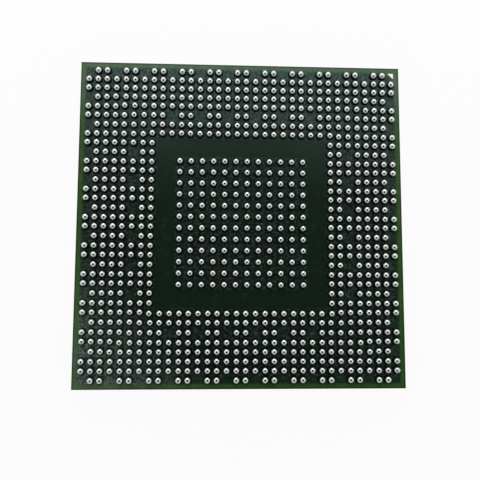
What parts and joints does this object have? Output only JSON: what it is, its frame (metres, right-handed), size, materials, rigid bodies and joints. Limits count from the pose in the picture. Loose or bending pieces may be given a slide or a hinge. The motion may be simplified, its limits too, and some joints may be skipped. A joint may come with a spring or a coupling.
{
  "type": "graphics chip",
  "caption": "Square flip-chip package lying on its die: solder balls in four side fields and a centre field, die and chip capacitors beneath.",
  "frame": {"origin": "centre of the die's bare back, which the chip rests on", "axes": "+Z from the die's back towards the solder balls; +X and +Y along the package's sides, with the corner mark at +X +Y"},
  "size_m": [0.029, 0.029, 0.0024],
  "materials": {
    "solder": "satin",
    "solder_mask": "satin",
    "laminate": "matte",
    "buildup_film": "matte",
    "copper": "satin",
    "bare_mark": "satin",
    "silicon": "polished",
    "resin": "satin",
    "capacitor_ceramic": "satin",
    "tinned_terminal": "satin"
  },
  "bodies": {
    "root": {"balls_centre": "solder", "balls_row_a": "solder", "balls_row_aa": "solder", "balls_row_ab": "solder", "balls_row_ac": "solder", "balls_row_ad": "solder", "balls_row_ae": "solder", "balls_row_af": "solder", "balls_row_ag": "solder", "balls_row_ah": "solder", "balls_row_aj": "solder", "balls_row_ak": "solder", "balls_row_al": "solder", "balls_row_am": "solder", "balls_row_an": "solder", "balls_row_ap": "solder", "balls_row_b": "solder", "balls_row_c": "solder", "balls_row_d": "solder", "balls_row_e": "solder", "balls_row_f": "solder", "balls_row_g": "solder", "balls_row_h": "solder", "balls_row_j": "solder", "balls_row_k": "solder", "balls_row_l": "solder", "balls_row_m": "solder", "balls_row_n": "solder", "balls_row_p": "solder", "balls_row_r": "solder", "balls_row_t": "solder", "balls_row_u": "solder", "balls_row_v": "solder", "balls_row_w": "solder", "balls_row_y": "solder", "buildup_ball_side": "buildup_film", "buildup_die_side": "buildup_film", "bump_field": "resin", "capacitor_ceramics": "capacitor_ceramic", "capacitor_lands": "copper", "capacitor_solder": "solder", "capacitor_terminals": "tinned_terminal", "copper_ball_side": "copper", "copper_die_side": "copper", "core": "laminate", "die": "silicon", "index_mark": "bare_mark", "solder_mask_ball_side": "solder_mask", "solder_mask_die_side": "solder_mask", "underfill": "resin"}
  },
  "joints": []
}
